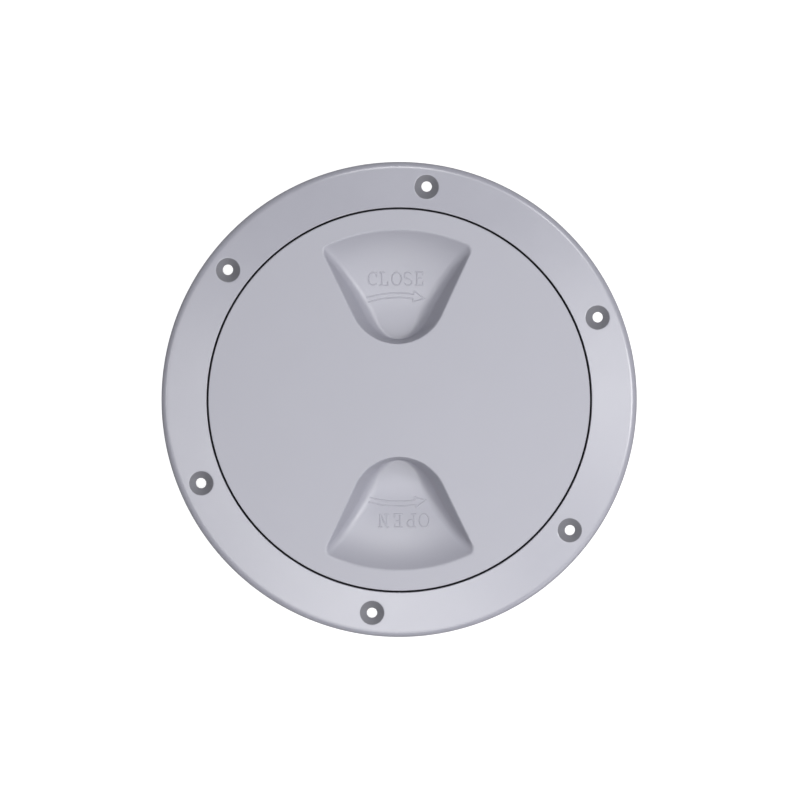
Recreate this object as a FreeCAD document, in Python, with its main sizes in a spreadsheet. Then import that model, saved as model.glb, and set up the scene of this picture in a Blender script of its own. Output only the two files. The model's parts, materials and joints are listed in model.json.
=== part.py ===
import FreeCAD, Part
import math
import os
import re

import Sketcher
from FreeCAD import Placement, Rotation, Vector

# Screw-out deck inspection plate: a moulded deck ring, a screw-in lid with two
# finger pockets, and the rubber seal between them. Millimetres, +Z up out of the
# deck. The origin is the centre of the flange's underside, on the deck plane.

# Driving sizes, lengths in mm and angles in degrees
SIZES = {
    # Ring, from the bore outwards
    "bore_diameter": 156.8,
    "lid_gap": 0.6,
    "flange_width": 19.6,
    "flange_lip_height": 5.4,
    "flange_edge_height": 4.0,
    "flange_edge_bevel": 1.9,
    "lip_bevel": 0.5,
    "shoulder_wall": 2.5,
    "collar_wall": 2.8,
    "collar_depth": 24.0,
    "collar_bevel": 0.8,
    # Countersunk screw holes
    "screw_count": 6,
    "screw_edge_distance": 9.8,
    "screw_hole_diameter": 4.5,
    "countersink_diameter": 9.8,
    "first_hole_angle": 22.7,
    # Seal
    "seal_width": 2.8,
    "seal_thickness": 2.8,
    "seal_clearance": 0.25,
    # Lid
    "lid_turned_by": 1.0,
    "lid_set_down": 0.1,
    "lid_thickness": 3.0,
    "lid_edge_bevel": 0.5,
    "rim_overhang": 1.25,
    "neck_clearance": 0.4,
    "neck_height": 2.4,
    "skirt_wall": 2.8,
    "skirt_lead_in": 0.9,
    "skirt_bevel": 0.6,
    # Thread, the same ridge on the ring and on the lid
    "thread_pitch": 6.0,
    "thread_height": 2.0,
    "thread_clearance": 0.5,
    "thread_root_width": 3.0,
    "thread_crest_width": 1.4,
    "thread_root": 0.6,
    "thread_reach": 12.5,
    "ring_thread_turns": 1.25,
    "lid_thread_turns": 1.25,
    # Finger pockets
    "grip_bar_width": 49.4,
    "pocket_rim_margin": 9.05,
    "pocket_half_angle": 25.4,
    "pocket_nose_radius": 22.0,
    "pocket_depth": 12.0,
    "pocket_draft": 15.0,
    "pocket_flat_length": 13.3,
    "pocket_floor_round": 6.0,
    "pocket_corner_round": 3.0,
    "pocket_rim_bevel": 0.5,
    "pocket_wall": 2.6,
    "bowl_slope": 21.3,
    "bowl_bevel": 1.5,
    "pocket_cutter_rise": 6.0,
    # Ribs and hub under the lid
    "rib_thickness": 2.0,
    "rib_depth": 5.0,
    "rib_spread": 30.0,
    "hub_diameter": 22.0,
    "hub_wall": 2.0,
}

# Sizes worked out from the driving ones
WORKED_OUT = {
    "bore_radius": "bore_diameter / 2",
    "neck_radius": "bore_radius - neck_clearance",
    "seal_inner_radius": "neck_radius + seal_clearance",
    "seal_outer_radius": "seal_inner_radius + seal_width",
    "lid_radius": "seal_outer_radius + rim_overhang",
    "recess_radius": "lid_radius + lid_gap",
    "flange_radius": "recess_radius + flange_width",
    "shoulder_radius": "recess_radius + shoulder_wall",
    "collar_radius": "bore_radius + collar_wall",
    "screw_radius": "flange_radius - screw_edge_distance",
    "flange_fall": "(flange_lip_height - flange_edge_height) / flange_width",
    "screw_face_height": "flange_edge_height + screw_edge_distance * flange_fall",
    "countersink_depth": "(countersink_diameter - screw_hole_diameter) / 2",
    "lid_top": "flange_lip_height - lid_set_down",
    "lid_underside": "lid_top - lid_thickness",
    "seal_top": "lid_underside - seal_clearance",
    "seal_foot": "seal_top - seal_thickness",
    "seat_height": "seal_foot - seal_clearance",
    "shoulder_foot": "seat_height - shoulder_wall",
    "neck_foot": "lid_underside - neck_height",
    "lid_crest_radius": "bore_radius - thread_clearance",
    "skirt_radius": "lid_crest_radius - thread_height",
    "ring_crest_radius": "skirt_radius + thread_clearance",
    "ring_thread_foot": "seat_height - thread_reach",
    "thread_phase": "thread_pitch * (lid_turned_by - first_hole_angle) / 360",
    "lid_thread_foot": "ring_thread_foot + thread_pitch / 2 + thread_phase",
    "skirt_foot": "lid_thread_foot - thread_root_width / 2 - skirt_lead_in",
    "skirt_inner_radius": "skirt_radius - skirt_wall",
    "pocket_nose": "grip_bar_width / 2",
    "pocket_arc_radius": "lid_radius - pocket_rim_margin",
    "pocket_flat_end": "pocket_nose + pocket_flat_length",
    "pocket_floor": "lid_top - pocket_depth",
    "cutter_radius": "pocket_arc_radius + 2 * pocket_cutter_rise",
    "ramp_run": "pocket_arc_radius - pocket_flat_end",
    "ramp_radius": "(ramp_run ^ 2 + pocket_depth ^ 2) / (2 * pocket_depth)",
    "bowl_top": "lid_underside + lid_thickness / 2",
    "bowl_floor": "pocket_floor - pocket_wall",
    "bowl_flat_end": "pocket_flat_end + (ramp_radius + pocket_wall) * tan(bowl_slope / 2)",
    "bowl_end": "skirt_radius - skirt_wall / 2",
    "bowl_end_height": "bowl_floor + (bowl_end - bowl_flat_end) * tan(bowl_slope)",
}

AXIS = Vector(0, 0, 1)
MATCH = 0.01

doc = FreeCAD.newDocument("DeckInspectionPlate")
sheet = doc.addObject("Spreadsheet::Sheet", "Sizes")
for row, (alias, size) in enumerate(SIZES.items(), start=1):
    sheet.set("A%d" % row, alias)
    sheet.set("B%d" % row, str(size))
    sheet.setAlias("B%d" % row, alias)
doc.recompute()


def formula(text):
    """The text as an expression on the sheet's cells, with worked-out sizes spelled out."""
    def cell(match):
        word = match.group(0)
        if word in WORKED_OUT:
            return "(" + formula(WORKED_OUT[word]) + ")"
        return "Sizes." + word if word in SIZES else word
    return re.sub(r"[a-z_]+", cell, text)


def number(text):
    """The formula's value now."""
    return float(sheet.evalExpression(formula(text)))


def bind(feature, **sizes):
    """Binds the feature's properties to formulas."""
    for name, text in sizes.items():
        feature.setExpression(name, formula(text))


def place(feature, height="0", turn="0"):
    """Lifts the feature to a height and turns it about the Z axis, both by formula."""
    feature.Placement = Placement(Vector(), Rotation(AXIS, 1))
    feature.setExpression(".Placement.Base.z", formula(height))
    feature.setExpression(".Placement.Rotation.Angle", formula(turn))


def origin_feature(body, role):
    """The body's own origin plane or axis of that role."""
    return next(item for item in body.Origin.OriginFeatures if item.Role == role)


def sketch_in(body, role, name):
    """An empty sketch on one of the body's origin planes."""
    sketch = body.newObject("Sketcher::SketchObject", name)
    sketch.AttachmentSupport = [(origin_feature(body, role), "")]
    sketch.MapMode = "FlatFace"
    doc.recompute()
    return sketch


def pin(sketch, geometry, vertex, across, up):
    """Fixes a sketch point at distances across and up from the sketch's origin."""
    for kind, text in (("DistanceX", across), ("DistanceY", up)):
        rule = Sketcher.Constraint(kind, -1, 1, geometry, vertex, number(text))
        index = sketch.addConstraint(rule)
        sketch.setExpression("Constraints[%d]" % index, formula(text))


def draw_outline(sketch, corners):
    """A closed outline of straight edges, each corner a pair of formulas."""
    points = [Vector(number(across), number(up), 0) for across, up in corners]
    following = points[1:] + points[:1]
    for start, end in zip(points, following):
        sketch.addGeometry(Part.LineSegment(start, end), False)
    for index, (across, up) in enumerate(corners):
        before = (index - 1) % len(corners)
        sketch.addConstraint(Sketcher.Constraint("Coincident", before, 2, index, 1))
        pin(sketch, index, 1, across, up)


def section(body, name, corners):
    """A closed outline in the plane through the Z axis: radius across, height up."""
    sketch = sketch_in(body, "XZ_Plane", name)
    draw_outline(sketch, corners)
    return sketch


def revolve(body, kind, name, sketch, axis):
    """A full turn of the sketch about one of its axes, added or cut away."""
    feature = body.newObject("PartDesign::" + kind, name)
    feature.Profile = sketch
    feature.ReferenceAxis = (sketch, [axis])
    feature.Angle = 360
    sketch.Visibility = False
    doc.recompute()
    return feature


def bevel_rims(body, name, size, rims):
    """Bevels the circular edges about the Z axis at the given radii and heights."""
    wanted = [(number(across), number(up)) for across, up in rims]
    base = body.Tip
    names = []
    for index, edge in enumerate(base.Shape.Edges, start=1):
        if not isinstance(edge.Curve, Part.Circle):
            continue
        spot = (edge.Curve.Radius, edge.Curve.Center.z)
        if any(math.dist(spot, rim) < MATCH for rim in wanted):
            names.append("Edge%d" % index)
    bevel = body.newObject("PartDesign::Chamfer", name)
    bevel.Base = (base, names)
    bind(bevel, Size=size)
    doc.recompute()
    return bevel


def thread_ridge(body, name, wall_radius, crest_radius, into_wall, foot, turns):
    """One helical ridge of trapezoid section, rooted in the wall that carries it."""
    root = "%s + %s * thread_root" % (wall_radius, into_wall)
    half_root = "thread_root_width / 2"
    half_crest = "thread_crest_width / 2"
    ridge = section(body, name + "Section", [
        (root, "%s - %s" % (foot, half_root)),
        (crest_radius, "%s - %s" % (foot, half_crest)),
        (crest_radius, "%s + %s" % (foot, half_crest)),
        (root, "%s + %s" % (foot, half_root)),
    ])
    helix = body.newObject("PartDesign::AdditiveHelix", name)
    helix.Profile = ridge
    helix.ReferenceAxis = (ridge, ["V_Axis"])
    helix.Mode = 0
    bind(helix, Pitch="thread_pitch", Height="thread_pitch * " + turns)
    ridge.Visibility = False
    doc.recompute()
    return helix


def make_deck_ring():
    """The fixed part: a dished flange with a collar that goes down through the deck."""
    body = doc.addObject("PartDesign::Body", "DeckRing")
    body.Label = "deck_ring"
    ring = section(body, "RingSection", [
        ("flange_radius", "0"),
        ("flange_radius", "flange_edge_height"),
        ("recess_radius", "flange_lip_height"),
        ("recess_radius", "seat_height"),
        ("bore_radius", "seat_height"),
        ("bore_radius", "-collar_depth"),
        ("collar_radius", "-collar_depth"),
        ("collar_radius", "shoulder_foot - shoulder_radius + collar_radius"),
        ("shoulder_radius", "shoulder_foot"),
        ("shoulder_radius", "0"),
    ])
    revolve(body, "Revolution", "RingBlank", ring, "V_Axis")
    bevel_rims(body, "FlangeEdge", "flange_edge_bevel", [("flange_radius", "flange_edge_height")])
    bevel_rims(body, "FlangeLip", "lip_bevel", [("recess_radius", "flange_lip_height")])
    bevel_rims(body, "CollarFoot", "collar_bevel", [("collar_radius", "-collar_depth")])

    hole = screw_hole(body)
    holes = body.newObject("PartDesign::PolarPattern", "SixHoles")
    holes.Originals = [hole]
    holes.Axis = (origin_feature(body, "Z_Axis"), [""])
    holes.Angle = 360
    bind(holes, Occurrences="screw_count")
    body.Tip = holes
    doc.recompute()

    thread_ridge(body, "RingThread", "bore_radius", "ring_crest_radius", "1",
                 "ring_thread_foot", "ring_thread_turns")
    place(body, turn="first_hole_angle")
    return body


def screw_hole(body):
    """A countersunk hole on the X axis, cut by turning its half section about its own axis."""
    sketch = sketch_in(body, "XZ_Plane", "HoleSection")
    beyond = "countersink_depth"
    draw_outline(sketch, [
        ("screw_radius", "-" + beyond),
        ("screw_radius + screw_hole_diameter / 2", "-" + beyond),
        ("screw_radius + screw_hole_diameter / 2", "screw_face_height - countersink_depth"),
        ("screw_radius + countersink_diameter / 2 + " + beyond, "screw_face_height + " + beyond),
        ("screw_radius", "screw_face_height + " + beyond),
    ])
    sketch.addGeometry(Part.LineSegment(Vector(number("screw_radius"), -1, 0),
                                        Vector(number("screw_radius"), 1, 0)), True)
    centre_line = sketch.GeometryCount - 1
    sketch.addConstraint(Sketcher.Constraint("Vertical", centre_line))
    sketch.addConstraint(Sketcher.Constraint("PointOnObject", centre_line, 1, 4))
    return revolve(body, "Groove", "ScrewHole", sketch, "Axis0")


def make_lid_blank():
    """The lid without its pockets: disc, neck, threaded skirt, hub and ribs."""
    body = doc.addObject("PartDesign::Body", "LidBlank")
    blank = section(body, "LidSection", [
        ("0", "lid_underside"),
        ("skirt_inner_radius", "lid_underside"),
        ("skirt_inner_radius", "skirt_foot"),
        ("skirt_radius", "skirt_foot"),
        ("skirt_radius", "neck_foot - neck_radius + skirt_radius"),
        ("neck_radius", "neck_foot"),
        ("neck_radius", "lid_underside"),
        ("lid_radius", "lid_underside"),
        ("lid_radius", "lid_top"),
        ("0", "lid_top"),
    ])
    revolve(body, "Revolution", "LidTurned", blank, "V_Axis")
    bevel_rims(body, "LidEdge", "lid_edge_bevel", [("lid_radius", "lid_top")])
    bevel_rims(body, "SkirtFoot", "skirt_bevel", [("skirt_radius", "skirt_foot")])

    hub = section(body, "HubSection", [
        ("hub_diameter / 2 - hub_wall", "lid_underside - rib_depth"),
        ("hub_diameter / 2", "lid_underside - rib_depth"),
        ("hub_diameter / 2", "lid_underside + lid_thickness / 2"),
        ("hub_diameter / 2 - hub_wall", "lid_underside + lid_thickness / 2"),
    ])
    revolve(body, "Revolution", "Hub", hub, "V_Axis")

    rib_side = section(body, "RibSection", [
        ("(hub_diameter - hub_wall) / 2", "lid_underside - rib_depth"),
        ("skirt_inner_radius + skirt_wall / 2", "lid_underside - rib_depth"),
        ("skirt_inner_radius + skirt_wall / 2", "lid_underside + lid_thickness / 2"),
        ("(hub_diameter - hub_wall) / 2", "lid_underside + lid_thickness / 2"),
    ])
    rib_side.AttachmentOffset = Placement(Vector(), Rotation(Vector(0, 1, 0), 1))
    bind(rib_side, **{".AttachmentOffset.Rotation.Angle": "-rib_spread"})
    rib = body.newObject("PartDesign::Pad", "Rib")
    rib.Profile = rib_side
    rib.SideType = "Symmetric"
    bind(rib, Length="rib_thickness")
    rib_side.Visibility = False
    doc.recompute()

    fan = body.newObject("PartDesign::MultiTransform", "Ribs")
    spread = body.newObject("PartDesign::PolarPattern", "RibSpread")
    spread.Axis = (origin_feature(body, "Z_Axis"), [""])
    spread.Occurrences = 3
    bind(spread, Angle="2 * rib_spread")
    opposite = body.newObject("PartDesign::Mirrored", "RibsOpposite")
    opposite.MirrorPlane = (origin_feature(body, "YZ_Plane"), [""])
    fan.Originals = [rib]
    fan.Transformations = [spread, opposite]
    body.Tip = fan
    doc.recompute()

    thread_ridge(body, "LidThread", "skirt_radius", "lid_crest_radius", "-1",
                 "lid_thread_foot", "lid_thread_turns")
    return body


def pocket_outline(name, growth):
    """A finger pocket's plan at the lid's top, widened all round by the growth."""
    lean = math.radians(number("pocket_half_angle"))
    nose = number("pocket_nose_radius + " + growth)
    centre = number("pocket_nose + pocket_nose_radius")
    end = number("cutter_radius + " + growth)
    along = Vector(math.sin(lean), math.cos(lean), 0)
    start = Vector(nose * along.y, centre - nose * along.x, 0)
    reach = math.sqrt(start.dot(along) ** 2 - start.dot(start) + end ** 2) - start.dot(along)
    corner = start + along * reach

    def mirrored(point):
        return Vector(-point.x, point.y, 0)

    sketch = doc.addObject("Sketcher::SketchObject", name)
    sketch.addGeometry([
        Part.LineSegment(start, corner),
        Part.Arc(corner, Vector(0, end, 0), mirrored(corner)),
        Part.LineSegment(mirrored(corner), mirrored(start)),
        Part.Arc(mirrored(start), Vector(0, centre - nose, 0), start),
    ], False)
    rule = Sketcher.Constraint
    sketch.addConstraint([
        rule("Coincident", 1, 3, -1, 1),
        rule("Coincident", 0, 2, 1, 1),
        rule("Coincident", 1, 2, 2, 1),
        rule("Tangent", 2, 2, 3, 1),
        rule("Tangent", 3, 2, 0, 1),
        rule("PointOnObject", 3, 3, -2),
        rule("Symmetric", 1, 1, 1, 2, -2),
    ])
    for kind, where, text in (
            ("Radius", (1,), "cutter_radius + " + growth),
            ("Radius", (3,), "pocket_nose_radius + " + growth),
            ("DistanceY", (-1, 1, 3, 3), "pocket_nose + pocket_nose_radius")):
        index = sketch.addConstraint(rule(kind, *where, number(text)))
        sketch.setExpression("Constraints[%d]" % index, formula(text))
    index = sketch.addConstraint(rule("Angle", 0, math.pi / 2 - lean))
    sketch.setExpression("Constraints[%d]" % index, formula("90 - pocket_half_angle"))
    place(sketch, height="lid_top")
    return sketch


def scoop_section():
    """The pocket's lengthwise section: flat floor, then a hollow ramp up to the outer arc."""
    top = "lid_top + pocket_cutter_rise"
    drop = "(pocket_floor + ramp_radius - (%s))" % top
    ramp_end = "pocket_flat_end + sqrt(ramp_radius ^ 2 - %s ^ 2)" % drop
    corners = [(ramp_end, top), ("0", top), ("0", "pocket_floor"), ("pocket_flat_end", "pocket_floor")]
    points = [Vector(number(across), number(up), 0) for across, up in corners]
    sweep = number("ramp_radius")
    centre = points[3] + Vector(0, sweep, 0)
    halfway = (points[0] + points[3]) / 2 - centre
    middle = centre + halfway * (sweep / halfway.Length)

    sketch = doc.addObject("Sketcher::SketchObject", "PocketSection")
    sketch.addGeometry([
        Part.LineSegment(points[0], points[1]),
        Part.LineSegment(points[1], points[2]),
        Part.LineSegment(points[2], points[3]),
        Part.Arc(points[3], middle, points[0]),
    ], False)
    rule = Sketcher.Constraint
    sketch.addConstraint([rule("Coincident", 0, 2, 1, 1), rule("Coincident", 1, 2, 2, 1),
                          rule("Coincident", 2, 2, 3, 1), rule("Coincident", 3, 2, 0, 1)])
    for vertex, (across, up) in enumerate(corners[:3]):
        pin(sketch, vertex, 1, across, up)
    pin(sketch, 2, 2, *corners[3])
    index = sketch.addConstraint(rule("Radius", 3, sweep))
    sketch.setExpression("Constraints[%d]" % index, formula("ramp_radius"))
    return sketch


def bowl_section():
    """The bowl's lengthwise section under the scoop: flat floor, then a slope into the skirt."""
    sketch = doc.addObject("Sketcher::SketchObject", "BowlSection")
    draw_outline(sketch, [
        ("0", "bowl_floor"),
        ("bowl_flat_end", "bowl_floor"),
        ("bowl_end", "bowl_end_height"),
        ("bowl_end", "bowl_top"),
        ("0", "bowl_top"),
    ])
    return sketch


def walled_form(name, outline, lengthwise):
    """Where a drafted prism on the outline and the turned lengthwise section overlap."""
    prism = doc.addObject("Part::Extrusion", name + "Prism")
    prism.Base = outline
    prism.DirMode = "Custom"
    prism.Dir = Vector(0, 0, -1)
    prism.Solid = True
    bind(prism, LengthFwd="pocket_depth + 2 * pocket_wall", LengthRev="pocket_cutter_rise",
         TaperAngle="-pocket_draft", TaperAngleRev="pocket_draft")

    lengthwise.Placement = Placement(Vector(), Rotation(Vector(1, 0, 0), 90))
    turned = doc.addObject("Part::Revolution", name + "Turned")
    turned.Source = lengthwise
    turned.Axis = AXIS
    turned.Angle = 360
    turned.Solid = True

    form = doc.addObject("Part::MultiCommon", name + "Form")
    form.Shapes = [prism, turned]
    doc.recompute()
    return form


def dress(kind, name, form, chosen):
    """A Fillet or Chamfer on chosen edges, each an index and its size at both ends."""
    feature = doc.addObject("Part::" + kind, name)
    feature.Base = form
    feature.Edges = chosen
    doc.recompute()
    return feature


def make_pocket():
    """A finger pocket as a solid: drafted walls that run into a scooped floor.

    The blend is full round the nose and runs down to the corner radius up the ramp.
    """
    form = walled_form("Pocket", pocket_outline("PocketOutline", "0"), scoop_section())
    flat_end = number("pocket_flat_end")
    floor = number("pocket_floor")
    sweep = number("ramp_radius")
    full = number("pocket_floor_round")
    corner = number("pocket_corner_round")

    def floor_height(run):
        past = min(max(run - flat_end, 0), sweep)
        return floor + sweep - math.sqrt(sweep ** 2 - past ** 2)

    chosen = []
    for index, runs in edges_on(form.Shape, floor_height):
        ends = [corner if run > flat_end + 3 * full else full for run in runs]
        chosen.append((index, *ends))
    return dress("Fillet", "Pocket", form, chosen)


def make_bowl():
    """The outside of a pocket's walls under the lid, with its floor edges bevelled."""
    form = walled_form("Bowl", pocket_outline("BowlOutline", "pocket_wall"), bowl_section())
    flat_end = number("bowl_flat_end")
    floor = number("bowl_floor")
    rise = math.tan(math.radians(number("bowl_slope")))
    bevel = number("bowl_bevel")

    def floor_height(run):
        return floor + rise * max(run - flat_end, 0)

    chosen = [(index, bevel, bevel) for index, _ in edges_on(form.Shape, floor_height)]
    return dress("Chamfer", "Bowl", form, chosen)


def edges_on(shape, floor_height):
    """The side edges that lie on a floor turned about the Z axis, with their ends' radii."""
    found = []
    for index, edge in enumerate(shape.Edges, start=1):
        first, last = edge.FirstParameter, edge.LastParameter
        points = [edge.valueAt(first + (last - first) * share / 4) for share in range(5)]
        runs = [math.hypot(point.x, point.y) for point in points]
        about_axis = max(runs) - min(runs) < MATCH
        on_floor = all(abs(floor_height(run) - point.z) < MATCH for run, point in zip(runs, points))
        if on_floor and not about_axis:
            found.append((index, (runs[0], runs[-1])))
    return found


def opposite(feature, name):
    """The same form on the other side of the lid's centre."""
    mirror = doc.addObject("Part::Mirroring", name)
    mirror.Source = feature
    mirror.Normal = Vector(0, 1, 0)
    return mirror


def combine(kind, name, base, tool):
    """A boolean of two forms: Fuse joins them, Cut takes the tool away."""
    feature = doc.addObject("Part::" + kind, name)
    feature.Base = base
    feature.Tool = tool
    return feature


def make_lid():
    """The lid: two bowls fused under the blank, then the pockets scooped out of them."""
    bowl = make_bowl()
    pocket = make_pocket()
    one_bowl = combine("Fuse", "OneBowl", make_lid_blank(), bowl)
    two_bowls = combine("Fuse", "TwoBowls", one_bowl, opposite(bowl, "BowlOpposite"))
    one_pocket = combine("Cut", "OnePocket", two_bowls, pocket)
    both = combine("Cut", "TwoPockets", one_pocket, opposite(pocket, "PocketOpposite"))
    doc.recompute()

    top = number("lid_top")
    inside = number("lid_radius - lid_edge_bevel") - MATCH
    bevel = number("pocket_rim_bevel")
    rims = []
    for index, edge in enumerate(both.Shape.Edges, start=1):
        first, last = edge.FirstParameter, edge.LastParameter
        points = [edge.valueAt(first), edge.valueAt((first + last) / 2), edge.valueAt(last)]
        if all(abs(point.z - top) < MATCH and math.hypot(point.x, point.y) < inside
               for point in points):
            rims.append((index, bevel, bevel))
    lid = dress("Chamfer", "Lid", both, rims)
    lid.Label = "lid"
    place(lid, turn="lid_turned_by")
    return lid


def make_seal():
    """The rubber ring between the lid's rim and the seat, square in section."""
    body = doc.addObject("PartDesign::Body", "Seal")
    body.Label = "rubber_seal"
    ring = section(body, "SealSection", [
        ("seal_inner_radius", "seal_foot"),
        ("seal_outer_radius", "seal_foot"),
        ("seal_outer_radius", "seal_top"),
        ("seal_inner_radius", "seal_top"),
    ])
    revolve(body, "Revolution", "SealRing", ring, "V_Axis")
    return body


pieces = [make_deck_ring(), make_seal(), make_lid()]
doc.recompute()

for item in doc.Objects:
    if "Invalid" in item.State or "Error" in item.State:
        raise RuntimeError("%s did not build: %s" % (item.Label, item.State))
for piece in pieces:
    if piece.Shape.isNull() or not piece.Shape.isValid():
        raise RuntimeError("%s has no valid shape" % piece.Label)

os.makedirs("parts", exist_ok=True)
for piece in pieces:
    piece.Shape.exportStep("parts/%s.step" % piece.Label)
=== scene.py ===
import json
import math

import bmesh
import bpy
from mathutils import Matrix, Vector
from mathutils.geometry import delaunay_2d_cdt


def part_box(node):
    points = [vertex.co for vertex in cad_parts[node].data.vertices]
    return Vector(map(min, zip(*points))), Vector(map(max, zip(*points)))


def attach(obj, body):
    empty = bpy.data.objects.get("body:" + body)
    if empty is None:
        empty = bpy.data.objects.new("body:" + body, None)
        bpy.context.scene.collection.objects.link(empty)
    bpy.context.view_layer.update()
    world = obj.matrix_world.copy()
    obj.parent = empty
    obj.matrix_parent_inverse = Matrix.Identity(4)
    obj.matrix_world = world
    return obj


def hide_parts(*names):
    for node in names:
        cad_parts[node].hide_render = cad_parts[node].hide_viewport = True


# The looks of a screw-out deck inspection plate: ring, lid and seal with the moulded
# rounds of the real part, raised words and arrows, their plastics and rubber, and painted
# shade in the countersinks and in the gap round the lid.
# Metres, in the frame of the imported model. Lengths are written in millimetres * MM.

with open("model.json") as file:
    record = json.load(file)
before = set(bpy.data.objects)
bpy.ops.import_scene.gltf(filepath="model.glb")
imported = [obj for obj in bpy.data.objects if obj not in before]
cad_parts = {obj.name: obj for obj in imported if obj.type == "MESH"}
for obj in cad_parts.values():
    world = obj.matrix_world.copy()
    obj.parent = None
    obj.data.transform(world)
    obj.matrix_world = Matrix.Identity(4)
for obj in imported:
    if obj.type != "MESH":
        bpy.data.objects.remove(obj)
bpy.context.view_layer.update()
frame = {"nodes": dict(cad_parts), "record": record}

MM = 0.001
TURN = 2 * math.pi
# Points closer than this are one point
WELD = 0.0005 * MM


def reach(node):
    """How far a CAD node goes out from the Z axis."""
    return max(math.hypot(v.co.x, v.co.y) for v in frame["nodes"][node].data.vertices)


def mount(name):
    """One of the part's mounts, by its name in the record."""
    return next(m for m in frame["record"]["mounts"] if m["name"] == name)


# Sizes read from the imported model
FLANGE_RADIUS = reach("deck_ring")
COLLAR_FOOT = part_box("deck_ring")[0].z
LID_RADIUS = reach("lid")
LID_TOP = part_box("lid")[1].z
SEAL_OUTER = reach("rubber_seal")
SEAL_FOOT, SEAL_TOP = (corner.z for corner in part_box("rubber_seal"))
SHOULDER_RADIUS = mount("deck_collar")["dims"]["r_mm"] * MM
SCREWS = mount("screw_holes")["dims"]["count"]
SCREW_CIRCLE = mount("screw_holes")["dims"]["pcd_mm"] * MM / 2
SCREW_HOLE = mount("screw_holes")["dims"]["hole_r_mm"] * MM

# Ring
LIP_HEIGHT = LID_TOP + 0.08 * MM
RECESS_RADIUS = LID_RADIUS + 0.5 * MM
EDGE_HEIGHT = 4.0 * MM
EDGE_ROUND = 3.2 * MM
FLANGE_FALL = (LIP_HEIGHT - EDGE_HEIGHT) / (FLANGE_RADIUS - RECESS_RADIUS)
LIP_ROUND = 0.3 * MM
SEAT_HEIGHT = SEAL_FOOT - 0.25 * MM
BORE_RADIUS = 78.4 * MM
COLLAR_RADIUS = BORE_RADIUS + 2.8 * MM
SHOULDER_FOOT = SEAT_HEIGHT - 2.5 * MM
COLLAR_ROUND = 0.8 * MM
SMALL_ROUND = 0.3 * MM
# Painted shade: the recess is painted near-black between these radii and heights, outside the seal, as
# the shade in the gap round the lid
GAP_SHADE_RADII = (SEAL_OUTER + 0.2 * MM, RECESS_RADIUS + 0.01 * MM)
GAP_SHADE_HEIGHTS = (-2.0 * MM, 3.4 * MM)

# Screw holes, each in a patch of the flange between two radii
FIRST_SCREW = math.radians(22.7)
COUNTERSINK = 5.2 * MM
COUNTERSINK_ROUND = 0.35 * MM
HOLE_BAND = (86.5 * MM, 98.7 * MM)
# Rings of points between a patch's edge and its hole, as shares of the way in
PATCH_SHARES = (0.3, 0.55, 0.75, 0.9)
# The strips of a patch, counted from its edge, that make the countersink's cone
CUT_STRIPS = (8, 13)
# The ring's material slots for its countersinks, darker with painted shade, and for the part of its
# recess painted near-black as shade in the gap
CUT_SLOT = 1
GAP_SHADE_SLOT = 2

# Thread ridges
PITCH = 6.0 * MM
RIDGE_ROOT = 3.0 * MM
RIDGE_CREST = 1.4 * MM
RIDGE_ROUND = 0.25 * MM
RIDGE_SUNK = 0.6 * MM
# The share of its height that a ridge starts with, and the steps that it takes to reach it all
RIDGE_START = 0.02
RIDGE_RUNOUT = 14
RING_CREST = 76.4 * MM
THREAD_FOOT = SEAT_HEIGHT - 12.5 * MM
THREAD_TURNS = 1.25
LID_THREAD_START = math.radians(1.0)

# Seal
SEAL_WIDTH = 2.8 * MM
SEAL_ROUND = 0.45 * MM

# Lid
LID_TURN = math.radians(0.5)
LID_WALL = LID_RADIUS - 0.3 * MM
LID_UNDERSIDE = LID_TOP - 3.0 * MM
LID_EDGE_ROUND = 0.3 * MM
NECK_RADIUS = BORE_RADIUS - 0.4 * MM
NECK_FOOT = LID_UNDERSIDE - 2.4 * MM
LID_CREST = BORE_RADIUS - 0.5 * MM
SKIRT_RADIUS = LID_CREST - 2.0 * MM
SKIRT_INNER = SKIRT_RADIUS - 2.8 * MM
SKIRT_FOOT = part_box("lid")[0].z
SKIRT_ROUND = 0.6 * MM
# The width of the strip that joins the lid's own mesh to the CAD model's
LID_SEAM = 0.4 * MM
FLAT_RADIUS = 80.0 * MM

# Finger pockets, in a plan of their own with the nose towards the lid's middle
POCKET_SHIFT = -0.4 * MM
POCKET_NOSE = 24.7 * MM
NOSE_RADIUS = 20.8 * MM
POCKET_LEAN = math.radians(25.4)
POCKET_ARC = 73.25 * MM
POCKET_DEPTH = 12.0 * MM
POCKET_DRAFT = math.radians(25.0)
FLAT_END = POCKET_NOSE + 13.3 * MM
RAMP_RUN = POCKET_ARC - FLAT_END
RAMP_RADIUS = (RAMP_RUN ** 2 + POCKET_DEPTH ** 2) / (2 * POCKET_DEPTH)
# The ramp's arc is followed this far, short of where it would stand upright
RAMP_LIMIT = RAMP_RADIUS * 0.98
NOSE_DRAFT = math.radians(6.0)
NOSE_BLEND = 1.0 * MM
SIDE_BLEND = 7.0 * MM
CORNER_BLEND = 4.2 * MM
CORNER_PLAN = 2.6 * MM
RIM_WIDTH = 0.62 * MM
RIM_FADE = 1.0 * MM

# Raised words and arrows
LETTER_HEIGHT = 5.5 * MM
WORD_FOOT = 49.7 * MM
CLOSE_START = -12.6 * MM
CLOSE_SPACING = 5.1 * MM
OPEN_START = -13.0 * MM
OPEN_SPACING = 5.9 * MM
MARK_WIDTH = 0.65 * MM
MARK_REACH = MARK_WIDTH * 0.62
MARK_HEIGHT = 0.24 * MM
MARK_ROOT = 0.5 * MM
MARK_CELL = 0.16 * MM
ARROW_LINES = (44.3 * MM, 46.3 * MM)
ARROW_BARB = 1.3 * MM
ARROW_TAIL = math.radians(16.4)
ARROW_NECK = math.radians(-9.0)
ARROW_TIP = math.radians(-14.9)
ARROW_STEPS = 12

# Studio
FLOOR_REACH = 8.0
FLOOR_GAP = 0.2 * MM
FLOOR_GREY = 0.25
FLOOR_GLOW = 0.93
ROOM_LIGHT = 0.02
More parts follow.
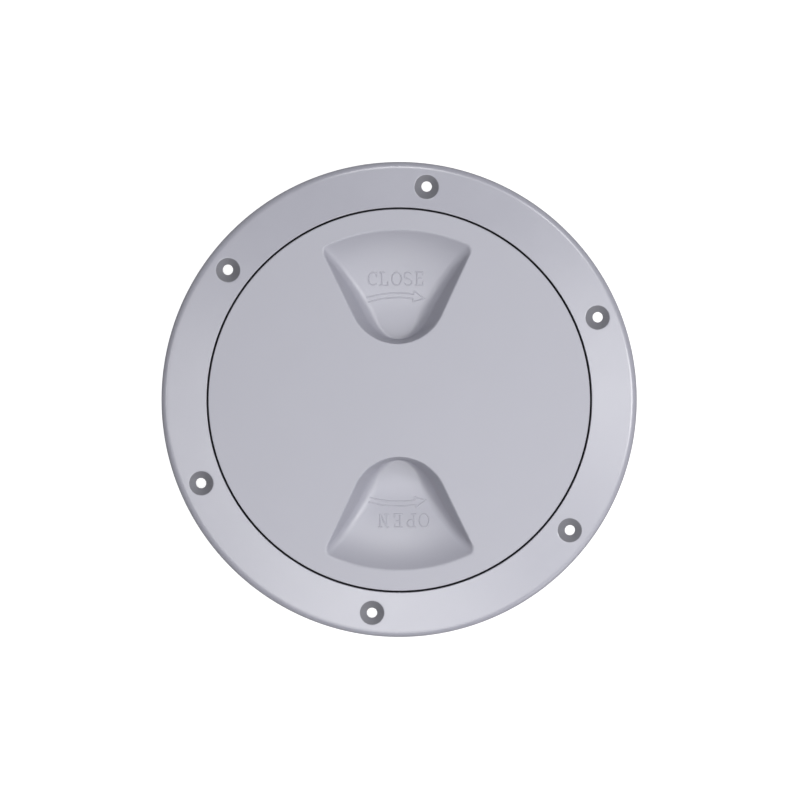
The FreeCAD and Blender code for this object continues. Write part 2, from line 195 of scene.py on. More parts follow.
# Name, distance in metres, bearing from +X and angle off the zenith in degrees, width in
# metres and power in watts
LIGHTS = (
    ("above_right", 1.25, 0, 15, 0.3, 1.7),
    ("above_left", 1.25, 180, 15, 0.3, 1.0),
    ("above_front_left", 1.25, 225, 15, 0.3, 1.0),
    ("above_front", 1.25, 270, 15, 0.3, 1.5),
    ("above_back", 1.25, 90, 25, 0.3, 0.5),
    ("front_near", 0.6, 270, 40, 0.35, 1.1),
    ("right_front_near", 0.6, 330, 40, 0.35, 0.65),
    ("right", 1.25, 0, 38, 0.3, 4.6),
    ("right_back", 1.25, 45, 38, 0.3, 3.1),
    ("back", 1.25, 90, 38, 0.3, 3.3),
    ("left", 1.25, 180, 38, 0.3, 1.8),
    ("right_front_low", 1.0, 315, 75, 0.5, 1.3),
)

# Mesh density
COLUMNS = 480
PATCH_COLUMNS = 12
ARC_STEP = math.radians(7.5)
FLAT_PITCH = 3.2 * MM
FLAT_CLEAR = FLAT_PITCH * 0.6
NOSE_STEPS = 36
SIDE_STEPS = 44
CORNER_STEPS = 14
FAR_STEPS = 40
# How far in from its rim each ring of a pocket's mesh lies: close rings over the rim, then
# wider ones, and then rings that close on the pocket's middle
POCKET_EDGE = -1.3 * MM
RIM_INSETS = [i * 0.15 * MM for i in range(-8, 7)]
WALL_INSETS = [(1.1 + 0.22 * i) * MM for i in range(7)]
INNER_RINGS = 44
POCKET_MIDDLE = Vector((0, 50.5 * MM))


class Shell:
    """The points and faces of one mesh while it is built, and which faces are countersink."""

    def __init__(self):
        self.points = []
        self.faces = []
        self.cut = []

    def row(self, points):
        """Adds points and gives their numbers."""
        start = len(self.points)
        self.points.extend(tuple(point) for point in points)
        return list(range(start, len(self.points)))

    def skin(self, rows, closed=True):
        """Quads between each row of points and the next."""
        numbered = [self.row(points) for points in rows]
        count = len(numbered[0])
        for low, high in zip(numbered, numbered[1:]):
            for i in range(count if closed else count - 1):
                j = (i + 1) % count
                self.faces.append((low[i], low[j], high[j], high[i]))

    def to_bmesh(self):
        """The mesh with its points welded, ready for Blender's mesh tools."""
        bm = bmesh.new()
        points = [bm.verts.new(point) for point in self.points]
        for face in self.faces:
            bm.faces.new([points[i] for i in face])
        bm.faces.ensure_lookup_table()
        for i in self.cut:
            bm.faces[i].material_index = CUT_SLOT
        bmesh.ops.remove_doubles(bm, verts=bm.verts, dist=WELD)
        return bm


def finish_piece(name, bm, body, material, crease=30.0):
    """Makes the mesh an object that is smooth up to a crease in degrees and rides on its body."""
    mesh = bpy.data.meshes.new(name)
    bm.to_mesh(mesh)
    bm.free()
    mesh.shade_smooth()
    mesh.set_sharp_from_angle(angle=math.radians(crease))
    mesh.materials.append(material)
    piece = bpy.data.objects.new(name, mesh)
    bpy.context.scene.collection.objects.link(piece)
    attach(piece, body)
    return piece


def rounded(corners, support=0.12 * MM):
    """A section in (radius, height) with its corners rounded, except those of round 0.

    Each corner is (radius, height, round). A point close to either end of each round
    keeps the flat faces beside it flat in the shading.
    """
    outline = []
    for i, (x, z, size) in enumerate(corners):
        here = Vector((x, z))
        back = (Vector(corners[i - 1][:2]) - here).normalized()
        ahead = (Vector(corners[(i + 1) % len(corners)][:2]) - here).normalized()
        if not size:
            outline.append(here)
            continue
        between = back.angle(ahead)
        run = size / math.tan(between / 2)
        centre = here + (back + ahead).normalized() * (size / math.sin(between / 2))
        sweep = math.pi - between
        steps = max(2, math.ceil(sweep / ARC_STEP))
        start = here + back * run - centre
        side = 1 if start.cross(here + ahead * run - centre) > 0 else -1
        outline.append(here + back * (run + support))
        for step in range(steps + 1):
            angle = side * sweep * step / steps
            turned = Vector((start.x * math.cos(angle) - start.y * math.sin(angle),
                             start.x * math.sin(angle) + start.y * math.cos(angle)))
            outline.append(centre + turned)
        outline.append(here + ahead * (run + support))
    return outline


def around(radius, column, height=0.0):
    """The point on a circle about the Z axis, counted in columns from the first screw."""
    angle = FIRST_SCREW + TURN * (column % COLUMNS) / COLUMNS
    return Vector((radius * math.cos(angle), radius * math.sin(angle), height))


def turned_rows(section):
    """A section in (radius, height) turned about the Z axis."""
    return [[around(radius, i, height) for i in range(COLUMNS)] for radius, height in section]


def flange_top(radius):
    """Height of the flange's sloping top at a radius."""
    return LIP_HEIGHT - (radius - RECESS_RADIUS) * FLANGE_FALL


def screw_levels(centre, ray):
    """The points down one side of a countersunk hole, from its rim to the flange's foot.

    A point just before and just after each round keeps the faces beside it flat.
    """
    before, after, close = 1.5, 1.6, 0.1 * MM
    face = flange_top(SCREW_CIRCLE)
    outward = centre.normalized()
    slope = -FLANGE_FALL * ray.dot(outward)
    rim = COUNTERSINK / (1 - slope)
    rim_point = centre + ray * rim + Vector((0, 0, face + rim * slope))
    along = (ray + Vector((0, 0, slope))).normalized() * COUNTERSINK_ROUND
    down = (-ray + Vector((0, 0, -1))).normalized() * COUNTERSINK_ROUND
    levels = [rim_point + along * before]
    for share in (0, 0.25, 0.5, 0.75, 1):
        levels.append(rim_point + along * (1 - share) ** 2 + down * share ** 2)
    levels.append(rim_point + down * after)
    neck = face - (COUNTERSINK - SCREW_HOLE)
    for radius, height in ((SCREW_HOLE + close, neck + close), (SCREW_HOLE, neck),
                           (SCREW_HOLE, neck - close), (SCREW_HOLE, SMALL_ROUND / 2),
                           (SCREW_HOLE + SMALL_ROUND / 2, 0)):
        levels.append(centre + ray * radius + Vector((0, 0, height)))
    return levels


def holed_bands(shell):
    """The flange's top and foot between two radii, with the screw holes through them."""
    inner, outer = HOLE_BAND
    half = PATCH_COLUMNS // 2
    radii = [inner + (outer - inner) * i / PATCH_COLUMNS for i in range(PATCH_COLUMNS + 1)]
    spacing = COLUMNS // SCREWS
    for screw in range(SCREWS):
        base = screw * spacing
        for height in (flange_top, lambda radius: 0):
            shell.skin([[around(r, base + i, height(r)) for i in range(half, spacing - half + 1)]
                        for r in radii], closed=False)
        centre = around(SCREW_CIRCLE, base, 0)
        edge = [(inner, base + i) for i in range(-half, half)]
        edge += [(r, base + half) for r in radii[:-1]]
        edge += [(outer, base + i) for i in range(half, -half, -1)]
        edge += [(r, base - half) for r in reversed(radii[1:])]
        plan = [around(r, column, 0) for r, column in edge]
        down = [screw_levels(centre, (point - centre).normalized()) for point in plan]
        top = [point + Vector((0, 0, flange_top(r))) for point, (r, _) in zip(plan, edge)]
        rows = [top]
        for share in PATCH_SHARES:
            rows.append([a.lerp(levels[0], share) for a, levels in zip(top, down)])
        rows += [list(level) for level in zip(*down)]
        first = len(shell.faces)
        shell.skin(rows)
        # The countersink's cone takes a darker material: painted shade in the countersink
        shell.cut += range(first + CUT_STRIPS[0] * len(edge), first + CUT_STRIPS[1] * len(edge))
        foot = [levels[-1] for levels in down]
        shell.skin([foot] + [[a.lerp(b, share) for a, b in zip(foot, plan)] for share in (0.5, 1)])


def ridge(shell, wall, crest, foot, turns, start):
    """A coarse right-hand thread's ridge up a wall, run out at both ends."""
    root = wall + math.copysign(RIDGE_SUNK, wall - crest)
    steps = int(COLUMNS / 2 * turns)
    half_root, half_crest = RIDGE_ROOT / 2, RIDGE_CREST / 2
    rows = []
    for i in range(steps + 1):
        share = min(i, steps - i) / RIDGE_RUNOUT
        tip = wall + (crest - wall) * (RIDGE_START + (1 - RIDGE_START) * smooth_step(share))
        middle = foot + PITCH * turns * i / steps
        angle = start + TURN * turns * i / steps
        section = rounded([
            (root, middle - half_root, 0),
            (wall, middle - half_root, 0),
            (tip, middle - half_crest, RIDGE_ROUND),
            (tip, middle + half_crest, RIDGE_ROUND),
            (wall, middle + half_root, 0),
            (root, middle + half_root, 0),
        ])
        rows.append([(r * math.cos(angle), r * math.sin(angle), z) for r, z in section])
    shell.skin(rows)
    for end in (rows[0], rows[-1]):
        shell.faces.append(tuple(shell.row(end)))


def make_ring(material, countersink_shade_material, gap_shade_material):
    """The deck ring with its rounded edges, countersunk holes, recess, collar and thread."""
    section = rounded([
        (RECESS_RADIUS, LIP_HEIGHT, LIP_ROUND),
        (FLANGE_RADIUS, EDGE_HEIGHT, EDGE_ROUND),
        (FLANGE_RADIUS, 0, SMALL_ROUND),
        (SHOULDER_RADIUS, 0, SMALL_ROUND),
        (SHOULDER_RADIUS, SHOULDER_FOOT, COLLAR_ROUND),
        (COLLAR_RADIUS, SHOULDER_FOOT - (SHOULDER_RADIUS - COLLAR_RADIUS), COLLAR_ROUND),
        (COLLAR_RADIUS, COLLAR_FOOT, COLLAR_ROUND),
        (BORE_RADIUS, COLLAR_FOOT, COLLAR_ROUND),
        (BORE_RADIUS, SEAT_HEIGHT, SMALL_ROUND),
        (RECESS_RADIUS, SEAT_HEIGHT, SMALL_ROUND),
    ])
    inner, outer = HOLE_BAND
    outside = [point for point in section if point.x > outer]
    first = section.index(outside[0])
    inside = section[first + len(outside):] + section[:first]

    shell = Shell()
    shell.skin(turned_rows([(outer, flange_top(outer)), *outside, (outer, 0)]))
    shell.skin(turned_rows([(inner, 0), *inside, (inner, flange_top(inner))]))
    ridge(shell, BORE_RADIUS, RING_CREST, THREAD_FOOT, THREAD_TURNS, FIRST_SCREW)
    holed_bands(shell)
    bm = shell.to_bmesh()
    bmesh.ops.recalc_face_normals(bm, faces=bm.faces)
    # Painted shade: faces of the recess outside the seal get a near-black material, standing in for
    # the shade in the gap round the lid
    for face in bm.faces:
        middle = face.calc_center_median()
        in_radii = GAP_SHADE_RADII[0] < middle.xy.length < GAP_SHADE_RADII[1]
        if in_radii and GAP_SHADE_HEIGHTS[0] < middle.z < GAP_SHADE_HEIGHTS[1]:
            face.material_index = GAP_SHADE_SLOT
    piece = finish_piece("ring_moulding", bm, "ring", material)
    piece.data.materials.append(countersink_shade_material)
    piece.data.materials.append(gap_shade_material)
    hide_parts("deck_ring")
    return piece


def make_seal(material):
    """The rubber ring with its rounded corners."""
    section = rounded([
        (SEAL_OUTER - SEAL_WIDTH, SEAL_FOOT, SEAL_ROUND),
        (SEAL_OUTER, SEAL_FOOT, SEAL_ROUND),
        (SEAL_OUTER, SEAL_TOP, SEAL_ROUND),
        (SEAL_OUTER - SEAL_WIDTH, SEAL_TOP, SEAL_ROUND),
    ])
    shell = Shell()
    shell.skin(turned_rows(section + section[:1]))
    bm = shell.to_bmesh()
    bmesh.ops.recalc_face_normals(bm, faces=bm.faces)
    piece = finish_piece("seal_ring", bm, "seal", material)
    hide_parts("rubber_seal")
    return piece


def smooth_step(share):
    """A share from 0 to 1, eased at both ends."""
    share = min(max(share, 0), 1)
    return share * share * (3 - 2 * share)


def direction(angle):
    """The way that an angle from +X points in plan, of length 1."""
    return Vector((math.cos(angle), math.sin(angle)))


def pocket_loop(inset):
    """A pocket's rim in plan, moved in by the inset, counter-clockwise, its axis along +Y."""
    centre = Vector((0, POCKET_NOSE + NOSE_RADIUS))
    normal = direction(-POCKET_LEAN)
    along = Vector((-normal.y, normal.x))
    start = centre + normal * (NOSE_RADIUS - CORNER_PLAN)
    run = math.sqrt(start.dot(along) ** 2 - start.dot(start) + (POCKET_ARC - CORNER_PLAN) ** 2)
    corner = start + along * (run - start.dot(along))
    corner_end = math.atan2(corner.y, corner.x)

    def arc(middle, radius, first, last, steps):
        return [middle + direction(first + (last - first) * i / steps) * radius for i in range(steps)]

    nose = NOSE_RADIUS - inset
    half = arc(centre, nose, -math.pi / 2, -POCKET_LEAN, NOSE_STEPS)
    side_start = centre + normal * nose
    side_end = corner + normal * (CORNER_PLAN - inset)
    half += [side_start.lerp(side_end, i / SIDE_STEPS) for i in range(SIDE_STEPS)]
    half += arc(corner, CORNER_PLAN - inset, -POCKET_LEAN, corner_end, CORNER_STEPS)
    half += arc(Vector((0, 0)), POCKET_ARC - inset, corner_end, math.pi / 2, FAR_STEPS)
    top = Vector((0, POCKET_ARC - inset))
    return half + [top] + [Vector((-p.x, p.y)) for p in reversed(half[1:])]


def inside_side(x, y):
    """Distance in from a pocket's nose or side walls at the rim."""
    centre_y = POCKET_NOSE + NOSE_RADIUS
    out = Vector((abs(x), y - centre_y))
    normal = direction(-POCKET_LEAN)
    along = Vector((-normal.y, normal.x))
    if out.dot(along) < 0:
        return NOSE_RADIUS - out.length
    return NOSE_RADIUS - out.dot(normal)


def pocket_form(x, y):
    """Height of a pocket's walls and floor, carried on above the lid's top outside the rim."""
    radius = math.hypot(x, y)
    past = min(max(radius - FLAT_END, 0), RAMP_LIMIT)
    floor = LID_TOP - POCKET_DEPTH + RAMP_RADIUS - math.sqrt(RAMP_RADIUS ** 2 - past ** 2)
    share = min(max((radius - FLAT_END) / RAMP_RUN, 0), 1)
    blend = SIDE_BLEND + (CORNER_BLEND - SIDE_BLEND) * share
    from_tip = math.atan2(abs(x), POCKET_NOSE + NOSE_RADIUS - y) / (math.pi / 2 - POCKET_LEAN)
    eased = smooth_step(from_tip)
    blend = NOSE_BLEND + (blend - NOSE_BLEND) * eased
    draft = NOSE_DRAFT + (POCKET_DRAFT - NOSE_DRAFT) * eased
    inside = inside_side(x, y)
    wall_foot = (LID_TOP - floor) * math.tan(draft)
    run = blend * math.tan(math.pi / 4 - draft / 2)
    if inside > wall_foot + run:
        return floor
    if inside > wall_foot - run * math.sin(draft):
        short = inside - wall_foot - run
        return floor + blend - math.sqrt(max(blend ** 2 - short ** 2, 0))
    return LID_TOP - inside / math.tan(draft)


def pocket_height(x, y):
    """Height of the lid's top in and around a pocket, with its rim rounded over."""
    here = pocket_form(x, y)
    step = 0.05 * MM
    level = 1e-7
    slope = math.hypot(pocket_form(x + step, y) - pocket_form(x - step, y),
                       pocket_form(x, y + step) - pocket_form(x, y - step)) / (2 * step)
    width = RIM_WIDTH * slope
    lower = min(LID_TOP, here)
    apart = abs(LID_TOP - here)
    outside = min(inside_side(x, y), POCKET_ARC - math.hypot(x, y))
    fade = min(max(1 + outside / RIM_FADE, 0), 1)
    if width < level or apart >= width:
        return lower
    return lower - fade * (width - apart) ** 2 / (4 * width)


def on_lid(point, height, way):
    """A point of a pocket's own plan in its place on the lid: way 1 to close, -1 to open."""
    x, y = point[0] * way, point[1] * way
    return Vector((x * math.cos(LID_TURN) - y * math.sin(LID_TURN) + POCKET_SHIFT,
                   x * math.sin(LID_TURN) + y * math.cos(LID_TURN), height))


def pocket_skin(shell, way):
    """The dense mesh of one pocket: rings along its rim, then rings that close on its middle."""
    loops = [pocket_loop(inset) for inset in [POCKET_EDGE] + RIM_INSETS + WALL_INSETS]
    last = loops[-1]
    for i in range(1, INNER_RINGS):
        loops.append([point.lerp(POCKET_MIDDLE, i / INNER_RINGS) for point in last])
    rows = []
    for number, loop in enumerate(loops):
        flat = number == 0
        rows.append([on_lid(p, LID_TOP if flat else pocket_height(p.x, p.y), way) for p in loop])
    shell.skin(rows)
    numbers = shell.row(rows[-1])
    shell.faces.append(tuple(numbers))


def near_pocket(x, y, margin):
    """Whether a point is in a pocket's outer loop or close to it."""
    x -= POCKET_SHIFT
    across = x * math.cos(LID_TURN) + y * math.sin(LID_TURN)
    out = abs(y * math.cos(LID_TURN) - x * math.sin(LID_TURN))
    return min(inside_side(across, out), POCKET_ARC - math.hypot(x, y)) > POCKET_EDGE - margin


def flat_top(shell):
    """The lid's flat top round the pockets, in even triangles."""
    points = [around(FLAT_RADIUS, i).xy for i in range(COLUMNS)]
    owner = [0] * COLUMNS
    edges = [(i, (i + 1) % COLUMNS) for i in range(COLUMNS)]
    for number, way in enumerate((1, -1), start=1):
        rim = [on_lid(point, 0, way).xy for point in pocket_loop(POCKET_EDGE)]
        start, count = len(points), len(rim)
        points += rim
        owner += [number] * count
        edges += [(start + i, start + (i + 1) % count) for i in range(count)]
    steps = int(FLAT_RADIUS / FLAT_PITCH) + 1
    row_pitch = FLAT_PITCH * math.sqrt(3) / 2
    for row in range(-steps, steps + 1):
        for column in range(-steps, steps + 1):
            x = (column + (row % 2) / 2) * FLAT_PITCH
            y = row * row_pitch
            if math.hypot(x, y) < FLAT_RADIUS - FLAT_CLEAR and not near_pocket(x, y, FLAT_CLEAR):
                points.append(Vector((x, y)))
                owner.append(0)
    tolerance = 1e-9
    found, _, faces, origins, _, _ = delaunay_2d_cdt(points, edges, [], 0, tolerance)
    start = len(shell.points)
    shell.row(Vector((p.x, p.y, LID_TOP)) for p in found)
    for face in faces:
        rims = {owner[origins[i][0]] for i in face}
        if rims != {1} and rims != {2}:
            shell.faces.append(tuple(start + i for i in face))


def lid_underside():
    """The lid's CAD mesh without its top side, its rim and the outside of its skirt."""
    bm = bmesh.new()
    bm.from_mesh(frame["nodes"]["lid"].data)
    bmesh.ops.remove_doubles(bm, verts=bm.verts, dist=WELD)
    near = 0.02 * MM

    def on_inner_foot(vert):
        return abs(vert.co.z - SKIRT_FOOT) < near and abs(vert.co.xy.length - SKIRT_INNER) < near

    waiting = [f for f in bm.faces if f.calc_center_median().z > LID_TOP - near]
    top = set(waiting)
    while waiting:
        for edge in waiting.pop().edges:
            if all(on_inner_foot(vert) for vert in edge.verts):
                continue
            for face in edge.link_faces:
                if face not in top:
                    top.add(face)
                    waiting.append(face)
    bmesh.ops.delete(bm, geom=list(top), context="FACES")
    return bm


def make_lid(material):
    """The lid with its rounded edge, pockets, skirt and thread over the CAD model's ribs."""
    shell = Shell()
    outside = rounded([
        (SKIRT_INNER + LID_SEAM, SKIRT_FOOT, 0),
        (SKIRT_RADIUS, SKIRT_FOOT, SKIRT_ROUND),
        (SKIRT_RADIUS, NECK_FOOT - (NECK_RADIUS - SKIRT_RADIUS), SMALL_ROUND),
        (NECK_RADIUS, NECK_FOOT, SMALL_ROUND),
        (NECK_RADIUS, LID_UNDERSIDE, SMALL_ROUND),
        (LID_WALL, LID_UNDERSIDE, SMALL_ROUND),
        (LID_WALL, LID_TOP, LID_EDGE_ROUND),
        (FLAT_RADIUS, LID_TOP, 0),
    ])
    shell.skin(turned_rows(outside))
    phase = PITCH / 2 + PITCH * (LID_THREAD_START - FIRST_SCREW) / TURN
    ridge(shell, SKIRT_RADIUS, LID_CREST, THREAD_FOOT + phase, THREAD_TURNS, LID_THREAD_START)
    flat_top(shell)
    for way in (1, -1):
        pocket_skin(shell, way)
    top = shell.to_bmesh()
    bmesh.ops.recalc_face_normals(top, faces=top.faces)
    mesh = bpy.data.meshes.new("lid_top")
    top.to_mesh(mesh)
    top.free()
    bm = lid_underside()
    bm.from_mesh(mesh)
    bpy.data.meshes.remove(mesh)
    seam = [edge for edge in bm.edges
            if edge.is_boundary and max(vert.co.z for vert in edge.verts) < SKIRT_FOOT + LID_SEAM]
    bmesh.ops.bridge_loops(bm, edges=seam)
    bmesh.ops.recalc_face_normals(bm, faces=bm.faces)
    piece = finish_piece("lid_moulding", bm, "lid", material, crease=24.0)
    # Large flat faces keep an even shade beside the small faces of ribs and bevels
    even = piece.modifiers.new("even_shading", "WEIGHTED_NORMAL")
    even.keep_sharp = True
    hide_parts("lid")
    return piece


def bow(x, y, width, height, first, last):
    """Points along an ellipse, from one angle to another in degrees."""
    steps = abs(last - first) // 10
    angles = [math.radians(first + (last - first) * i / steps) for i in range(steps + 1)]
    return [(x + width * math.cos(angle), y + height * math.sin(angle)) for angle in angles]


# The strokes of each letter, in shares of its height
LETTERS = {
    "C": [bow(0.40, 0.50, 0.37, 0.50, 50, 310), [(0.66, 0.70), (0.66, 0.97)]],
    "L": [[(0.15, 0), (0.15, 1)], [(0, 1), (0.32, 1)], [(0, 0), (0.62, 0), (0.62, 0.24)]],
    "O": [bow(0.40, 0.50, 0.38, 0.50, 0, 360)],
    "S": [bow(0.36, 0.75, 0.28, 0.25, 30, 260) + bow(0.36, 0.25, 0.30, 0.25, 90, -150)],
    "E": [[(0.15, 0), (0.15, 1)], [(0, 0), (0.60, 0), (0.60, 0.22)],
          [(0, 1), (0.58, 1), (0.58, 0.80)], [(0.15, 0.52), (0.45, 0.52)]],
    "P": [[(0.15, 0), (0.15, 1)], [(0, 0), (0.32, 0)],
          [(0, 1)] + bow(0.38, 0.73, 0.27, 0.27, 90, -90) + [(0.15, 0.46)]],
    "N": [[(0.15, 0), (0.15, 1)], [(0, 0), (0.30, 0)], [(0, 1), (0.15, 1), (0.66, 0), (0.66, 1)],
          [(0.52, 1), (0.80, 1)]],
}


def word_strokes(word, start, spacing):
    """A word's strokes in a pocket's plan, from its first letter's left side."""
    strokes = []
    for place, letter in enumerate(word):
        left = start + place * spacing
        for stroke in LETTERS[letter]:
            strokes.append([(left + x * LETTER_HEIGHT, WORD_FOOT + y * LETTER_HEIGHT)
                            for x, y in stroke])
    return strokes


def arrow_strokes(side):
    """Two lines bowed about the lid's centre with an open head: side 1 to the right, -1 left."""
    def at(radius, lean):
        return -side * radius * math.sin(lean), radius * math.cos(lean)

    low, high = ARROW_LINES
    leans = [ARROW_TAIL + (ARROW_NECK - ARROW_TAIL) * i / ARROW_STEPS for i in range(ARROW_STEPS + 1)]
    head = [at(high, ARROW_NECK), at(high + ARROW_BARB, ARROW_NECK), at((low + high) / 2, ARROW_TIP),
            at(low - ARROW_BARB, ARROW_NECK), at(low, ARROW_NECK)]
    return [[at(radius, lean) for lean in leans] for radius in (low, high)] + [head]


def near_strokes(strokes):
    """The grid points close to the strokes, each with its distance to the nearest one."""
    apart = {}
    for stroke in strokes:
        for first, last in zip(stroke, stroke[1:]):
            a, b = Vector(first), Vector(last)
            spans = [range(math.floor((min(a[k], b[k]) - MARK_REACH) / MARK_CELL),
                           math.ceil((max(a[k], b[k]) + MARK_REACH) / MARK_CELL) + 1) for k in (0, 1)]
            for column in spans[0]:
                for row in spans[1]:
                    point = Vector((column, row)) * MARK_CELL
                    share = min(max((point - a).dot(b - a) / (b - a).length_squared, 0), 1)
                    distance = (point - a.lerp(b, share)).length
                    if distance < apart.get((column, row), MARK_REACH):
                        apart[column, row] = distance
    return apart


def make_mark(name, strokes, way, material):
    """Strokes that stand a little proud of a pocket's floor, rounded over, as a closed piece."""
    apart = near_strokes(strokes)
    top, foot = [], []
    numbers = {}
    for (column, row), distance in apart.items():
        x, y = column * MARK_CELL, row * MARK_CELL
        floor = pocket_height(x, y)
        numbers[column, row] = len(top)
        top.append(on_lid((x, y), floor + MARK_HEIGHT * (1 - (2 * distance / MARK_WIDTH) ** 2), way))
        foot.append(on_lid((x, y), floor - MARK_ROOT, way))
    shell = Shell()
    shell.row(top + foot)
    under = len(top)
    edges = set()
    for column, row in apart:
        cell = [numbers.get(spot) for spot in ((column, row), (column + 1, row),
                                               (column + 1, row + 1), (column, row + 1))]
        if None not in cell:
            shell.faces.append(tuple(cell))
            shell.faces.append(tuple(number + under for number in reversed(cell)))
            edges.update(zip(cell, cell[1:] + cell[:1]))
    for a, b in edges:
        if (b, a) not in edges:
            shell.faces.append((b, a, a + under, b + under))
    bm = shell.to_bmesh()
    loose = [vert for vert in bm.verts if not vert.link_faces]
    bmesh.ops.delete(bm, geom=loose, context="VERTS")
    bmesh.ops.recalc_face_normals(bm, faces=bm.faces)
    return finish_piece(name, bm, "lid", material, crease=70.0)


def plastic(name, colour, roughness, grain, grain_height, polished=None, specular=0.9):
    """Moulded plastic: a little uneven in colour, with a fine grain that gives it its sheen.

    Polished is (gloss, low, high). Below the height low the mould is polished, so the
    grain almost runs out and the gloss is clearer, and above high it is as elsewhere.
    """
    cloud, cloud_tint = 18 * MM, 0.015
    patch, patch_gloss = 9 * MM, 0.01
    polished_grain = 0.2
    material = bpy.data.materials.new(name)
    material.use_nodes = True
    nodes, links = material.node_tree.nodes, material.node_tree.links
    shader = nodes["Principled BSDF"]
    place = nodes.new("ShaderNodeTexCoord").outputs["Object"]

    def noise(size, detail):
        node = nodes.new("ShaderNodeTexNoise")
        node.inputs["Scale"].default_value = 1 / size
        node.inputs["Detail"].default_value = detail
        links.new(place, node.inputs["Vector"])
        return node.outputs["Fac"]

    def spread(value, first, last, low, high):
        node = nodes.new("ShaderNodeMapRange")
        node.interpolation_type = "SMOOTHSTEP"
        node.inputs["From Min"].default_value = first
        node.inputs["From Max"].default_value = last
        node.inputs["To Min"].default_value = low
        node.inputs["To Max"].default_value = high
        links.new(value, node.inputs["Value"])
        return node.outputs["Result"]

    tint = nodes.new("ShaderNodeMix")
    tint.data_type = "RGBA"
    tint.inputs["A"].default_value = (*[c * (1 - cloud_tint) for c in colour], 1)
    tint.inputs["B"].default_value = (*[c * (1 + cloud_tint) for c in colour], 1)
    links.new(noise(cloud, detail=2), tint.inputs["Factor"])
    links.new(tint.outputs["Result"], shader.inputs["Base Color"])
    bump = nodes.new("ShaderNodeBump")
    bump.inputs["Distance"].default_value = grain_height
    links.new(noise(grain, detail=3), bump.inputs["Height"])
    links.new(bump.outputs["Normal"], shader.inputs["Normal"])
    if polished:
        gloss, low, high = polished
        axes = nodes.new("ShaderNodeSeparateXYZ")
        links.new(place, axes.inputs["Vector"])
        height = axes.outputs["Z"]
        links.new(spread(height, low, high, gloss, roughness), shader.inputs["Roughness"])
        links.new(spread(height, low, high, polished_grain, 1), bump.inputs["Strength"])
    else:
        smoother, rougher = roughness - patch_gloss, roughness + patch_gloss
        patches = noise(patch, detail=2)
        links.new(spread(patches, 0.3, 0.7, smoother, rougher), shader.inputs["Roughness"])
    shader.inputs["IOR"].default_value = 1.5
    shader.inputs["Specular IOR Level"].default_value = specular
    return material


def make_stage():
    """A plain pale floor under the collar's foot, which lights the part's sides softly."""
    bm = bmesh.new()
    bmesh.ops.create_grid(bm, x_segments=8, y_segments=8, size=FLOOR_REACH)
    mesh = bpy.data.meshes.new("floor")
    bm.to_mesh(mesh)
    bm.free()
    floor = bpy.data.objects.new("floor", mesh)
    floor.location.z = COLLAR_FOOT - FLOOR_GAP
    floor.visible_glossy = False
    bpy.context.scene.collection.objects.link(floor)
    material = bpy.data.materials.new("pale_floor")
    material.use_nodes = True
    shader = material.node_tree.nodes["Principled BSDF"]
    shader.inputs["Base Color"].default_value = (FLOOR_GREY, FLOOR_GREY, FLOOR_GREY, 1)
    shader.inputs["Roughness"].default_value = 0.9
    shader.inputs["Specular IOR Level"].default_value = 0.0
    shader.inputs["Emission Color"].default_value = (1, 1, 1, 1)
    shader.inputs["Emission Strength"].default_value = FLOOR_GLOW
    mesh.materials.append(material)


def make_room():
    """A dim room round the part, with white where the camera sees past the floor."""
    world = bpy.data.worlds.new("studio")
    world.use_nodes = True
    nodes, links = world.node_tree.nodes, world.node_tree.links
    room = nodes["Background"]
    room.inputs["Color"].default_value = (1, 1, 1, 1)
    room.inputs["Strength"].default_value = ROOM_LIGHT
    backdrop = nodes.new("ShaderNodeBackground")
    backdrop.inputs["Color"].default_value = (1, 1, 1, 1)
    backdrop.inputs["Strength"].default_value = 1.0
    mix = nodes.new("ShaderNodeMixShader")
    links.new(nodes.new("ShaderNodeLightPath").outputs["Is Camera Ray"], mix.inputs["Fac"])
    links.new(room.outputs["Background"], mix.inputs[1])
    links.new(backdrop.outputs["Background"], mix.inputs[2])
    links.new(mix.outputs["Shader"], nodes["World Output"].inputs["Surface"])
    bpy.context.scene.world = world


def soft_box(name, place, size, power):
    """A square light that faces the middle of the part."""
    light = bpy.data.lights.new(name, "AREA")
    light.size = size
    light.energy = power
    lamp = bpy.data.objects.new(name, light)
    lamp.location = place
    lamp.rotation_euler = (-place).to_track_quat("-Z", "Y").to_euler()
    bpy.context.scene.collection.objects.link(lamp)


def make_lights():
    """Soft boxes above and all round the part, stronger at the right and the back."""
    for name, distance, bearing, zenith, size, power in LIGHTS:
        out = distance * math.sin(math.radians(zenith))
        up = distance * math.cos(math.radians(zenith))
        across = direction(math.radians(bearing)) * out
        soft_box(name, Vector((across.x, across.y, up)), size, power)


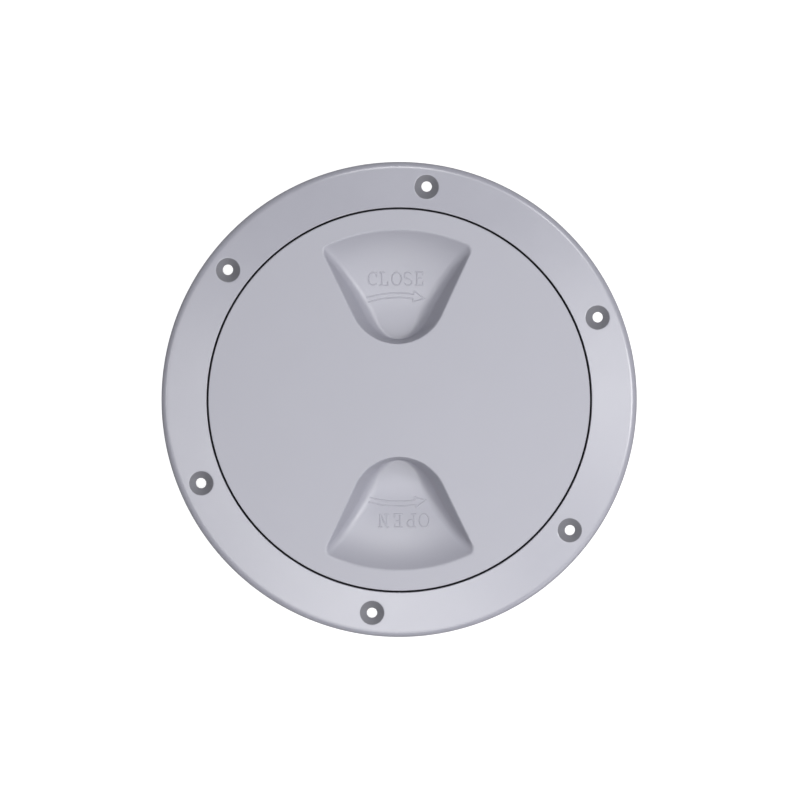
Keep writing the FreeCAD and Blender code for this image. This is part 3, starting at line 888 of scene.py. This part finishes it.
def make_camera():
    """Almost straight down on the lid, from a little behind its middle."""
    distance = 1.06
    view_width = 343.9 * MM
    offset = Vector((-0.004, 0.035, 0))
    aim = Vector((0.32 * MM, 0.18 * MM, 4 * MM))
    camera = bpy.data.cameras.new("camera")
    camera.sensor_width = 36.0
    camera.lens = camera.sensor_width * distance / view_width
    camera.clip_start = 0.1
    camera.clip_end = 20
    eye = bpy.data.objects.new("camera", camera)
    eye.location = aim + offset + Vector((0, 0, distance))
    back = (eye.location - aim).normalized()
    right = Vector((0, 1, 0)).cross(back).normalized()
    eye.rotation_mode = "QUATERNION"
    eye.rotation_quaternion = Matrix((right, back.cross(right), back)).transposed().to_quaternion()
    bpy.context.scene.collection.objects.link(eye)
    bpy.context.scene.camera = eye


# The plastics, the rubber and the painted shades, colours as linear red, green and blue
ring_plastic = plastic("ring_plastic", (0.3, 0.3, 0.347), roughness=0.29, grain=0.55 * MM,
                       grain_height=0.0015 * MM)
# Painted shade: the countersinks are darker than the ring's plastic, standing in for the shade in
# them; they are also rougher and less glossy
countersink_painted_shade = plastic("countersink_painted_shade", (0.17, 0.17, 0.19), roughness=0.6, grain=0.3 * MM,
                      grain_height=0.008 * MM, specular=0.3)
# Painted shade: a near-black material for the recess outside the seal, standing in for the shade in
# the gap round the lid
painted_gap_shade = plastic("painted_gap_shade", (0.05, 0.05, 0.056), roughness=0.6, grain=0.3 * MM,
                         grain_height=0.008 * MM, specular=0.3)
lid_plastic = plastic("lid_plastic", (0.293, 0.293, 0.339), roughness=0.5, grain=0.5 * MM,
                      grain_height=0.004 * MM, polished=(0.4, LID_TOP - 0.5 * MM, LID_TOP - 0.03 * MM))
seal_rubber = plastic("seal_rubber", (0.022, 0.022, 0.024), roughness=0.62, grain=0.5 * MM,
                      grain_height=0.01 * MM, specular=0.5)

make_ring(ring_plastic, countersink_painted_shade, painted_gap_shade)
make_seal(seal_rubber)
make_lid(lid_plastic)
close_strokes = word_strokes("CLOSE", CLOSE_START, CLOSE_SPACING) + arrow_strokes(1)
open_strokes = word_strokes("OPEN", OPEN_START, OPEN_SPACING) + arrow_strokes(-1)
make_mark("close_mark", close_strokes, 1, lid_plastic)
make_mark("open_mark", open_strokes, -1, lid_plastic)

make_stage()
make_room()
make_lights()
make_camera()
bpy.context.scene.view_settings.view_transform = "Standard"
